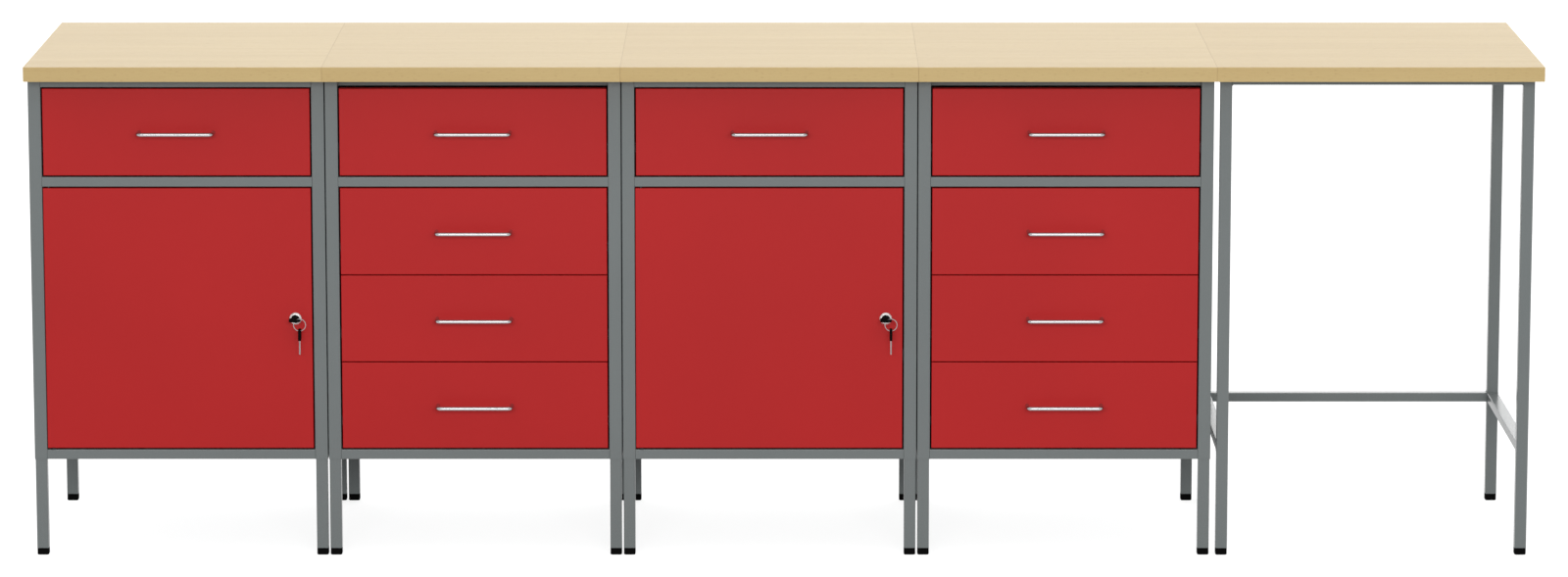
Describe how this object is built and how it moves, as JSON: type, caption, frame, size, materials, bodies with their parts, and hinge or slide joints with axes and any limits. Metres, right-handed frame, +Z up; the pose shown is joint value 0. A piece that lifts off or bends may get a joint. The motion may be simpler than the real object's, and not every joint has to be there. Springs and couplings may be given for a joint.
{
  "type": "modular workbench",
  "caption": "Straight modular workbench: grey steel cabinets with red drawers and locking cupboards beside an open table, under wooden worktop boards.",
  "frame": {"origin": "floor level, at the middle of the bench's length and depth", "axes": "+X along the bench to the right as seen from the front, +Y from the fronts to the back, +Z up"},
  "size_m": [2.6, 0.6, 0.863],
  "materials": {
    "worktop_wood": "clear lacquered beech",
    "frame_grey": "semi-gloss grey paint",
    "front_red": "semi-gloss red paint",
    "tray_grey": "satin light grey paint",
    "handle_chrome": "bright chrome",
    "lock_steel": "nickel plated steel",
    "runner_zinc": "zinc plated steel",
    "key_black": "black moulded key head",
    "foot_black": "black moulded plastic"
  },
  "bodies": {
    "bench": {"bay1_worktop": "worktop_wood", "bay2_worktop": "worktop_wood", "bay3_worktop": "worktop_wood", "bay4_worktop": "worktop_wood", "bay5_worktop": "worktop_wood", "bay1_frame": "frame_grey", "bay2_frame": "frame_grey", "bay3_frame": "frame_grey", "bay4_frame": "frame_grey", "bay5_frame": "frame_grey", "bay1_shell": "frame_grey", "bay2_shell": "frame_grey", "bay3_shell": "frame_grey", "bay4_shell": "frame_grey", "drawer_runners": "runner_zinc", "hinge_pins": "lock_steel", "cupboard_shelves": "frame_grey", "foot_caps": "foot_black"},
    "bay1_drawer1": {"bay1_drawer1_front": "front_red", "bay1_drawer1_tray": "tray_grey", "bay1_drawer1_handle": "handle_chrome"},
    "bay1_door_leaf": {"bay1_door": "front_red", "bay1_lock_housing": "handle_chrome"},
    "bay1_lock": {"bay1_lock_plug": "lock_steel", "bay1_key": "key_black"},
    "bay1_ring": {"bay1_key_ring": "lock_steel"},
    "bay1_spare": {"bay1_spare_key": "key_black"},
    "bay2_drawer1": {"bay2_drawer1_front": "front_red", "bay2_drawer1_tray": "tray_grey", "bay2_drawer1_handle": "handle_chrome"},
    "bay2_drawer2": {"bay2_drawer2_front": "front_red", "bay2_drawer2_tray": "tray_grey", "bay2_drawer2_handle": "handle_chrome"},
    "bay2_drawer3": {"bay2_drawer3_front": "front_red", "bay2_drawer3_tray": "tray_grey", "bay2_drawer3_handle": "handle_chrome"},
    "bay2_drawer4": {"bay2_drawer4_front": "front_red", "bay2_drawer4_tray": "tray_grey", "bay2_drawer4_handle": "handle_chrome"},
    "bay3_drawer1": {"bay3_drawer1_front": "front_red", "bay3_drawer1_tray": "tray_grey", "bay3_drawer1_handle": "handle_chrome"},
    "bay3_door_leaf": {"bay3_door": "front_red", "bay3_lock_housing": "handle_chrome"},
    "bay3_lock": {"bay3_lock_plug": "lock_steel", "bay3_key": "key_black"},
    "bay3_ring": {"bay3_key_ring": "lock_steel"},
    "bay3_spare": {"bay3_spare_key": "key_black"},
    "bay4_drawer1": {"bay4_drawer1_front": "front_red", "bay4_drawer1_tray": "tray_grey", "bay4_drawer1_handle": "handle_chrome"},
    "bay4_drawer2": {"bay4_drawer2_front": "front_red", "bay4_drawer2_tray": "tray_grey", "bay4_drawer2_handle": "handle_chrome"},
    "bay4_drawer3": {"bay4_drawer3_front": "front_red", "bay4_drawer3_tray": "tray_grey", "bay4_drawer3_handle": "handle_chrome"},
    "bay4_drawer4": {"bay4_drawer4_front": "front_red", "bay4_drawer4_tray": "tray_grey", "bay4_drawer4_handle": "handle_chrome"}
  },
  "joints": [
    {"name": "bay1_drawer1_slide", "type": "slide", "parent": "bench", "child": "bay1_drawer1", "axis": [0, -1, 0], "range_m": [0, 0.35]},
    {"name": "bay1_door_swing", "type": "hinge", "parent": "bench", "child": "bay1_door_leaf", "pos_m": [-1.26635, -0.2416, 0.4175], "axis": [0, 0, -1], "range_deg": [0, 95]},
    {"name": "bay1_lock_turn", "type": "hinge", "parent": "bay1_door_leaf", "child": "bay1_lock", "pos_m": [-0.84415, -0.2486, 0.4175], "axis": [0, 1, 0], "range_deg": [0, 90]},
    {"name": "bay1_ring_hang", "type": "hinge", "parent": "bay1_lock", "child": "bay1_ring", "pos_m": [-0.83545, -0.2669, 0.4175], "axis": [0, 1, 0], "range_deg": [-90, 0]},
    {"name": "bay1_spare_swing", "type": "hinge", "parent": "bay1_ring", "child": "bay1_spare", "pos_m": [-0.83545, -0.2669, 0.39983], "axis": [1, 0, 0], "range_deg": [-40, 20]},
    {"name": "bay2_drawer1_slide", "type": "slide", "parent": "bench", "child": "bay2_drawer1", "axis": [0, -1, 0], "range_m": [0, 0.35]},
    {"name": "bay2_drawer2_slide", "type": "slide", "parent": "bench", "child": "bay2_drawer2", "axis": [0, -1, 0], "range_m": [0, 0.35]},
    {"name": "bay2_drawer3_slide", "type": "slide", "parent": "bench", "child": "bay2_drawer3", "axis": [0, -1, 0], "range_m": [0, 0.35]},
    {"name": "bay2_drawer4_slide", "type": "slide", "parent": "bench", "child": "bay2_drawer4", "axis": [0, -1, 0], "range_m": [0, 0.35]},
    {"name": "bay3_drawer1_slide", "type": "slide", "parent": "bench", "child": "bay3_drawer1", "axis": [0, -1, 0], "range_m": [0, 0.35]},
    {"name": "bay3_door_swing", "type": "hinge", "parent": "bench", "child": "bay3_door_leaf", "pos_m": [-0.24635, -0.2416, 0.4175], "axis": [0, 0, -1], "range_deg": [0, 95]},
    {"name": "bay3_lock_turn", "type": "hinge", "parent": "bay3_door_leaf", "child": "bay3_lock", "pos_m": [0.17585, -0.2486, 0.4175], "axis": [0, 1, 0], "range_deg": [0, 90]},
    {"name": "bay3_ring_hang", "type": "hinge", "parent": "bay3_lock", "child": "bay3_ring", "pos_m": [0.18455, -0.2669, 0.4175], "axis": [0, 1, 0], "range_deg": [-90, 0]},
    {"name": "bay3_spare_swing", "type": "hinge", "parent": "bay3_ring", "child": "bay3_spare", "pos_m": [0.18455, -0.2669, 0.39983], "axis": [1, 0, 0], "range_deg": [-40, 20]},
    {"name": "bay4_drawer1_slide", "type": "slide", "parent": "bench", "child": "bay4_drawer1", "axis": [0, -1, 0], "range_m": [0, 0.35]},
    {"name": "bay4_drawer2_slide", "type": "slide", "parent": "bench", "child": "bay4_drawer2", "axis": [0, -1, 0], "range_m": [0, 0.35]},
    {"name": "bay4_drawer3_slide", "type": "slide", "parent": "bench", "child": "bay4_drawer3", "axis": [0, -1, 0], "range_m": [0, 0.35]},
    {"name": "bay4_drawer4_slide", "type": "slide", "parent": "bench", "child": "bay4_drawer4", "axis": [0, -1, 0], "range_m": [0, 0.35]}
  ],
  "couplings": [
    {"joint": "bay1_ring_hang", "follows": "bay1_lock_turn", "ratio": -1},
    {"joint": "bay3_ring_hang", "follows": "bay3_lock_turn", "ratio": -1}
  ]
}
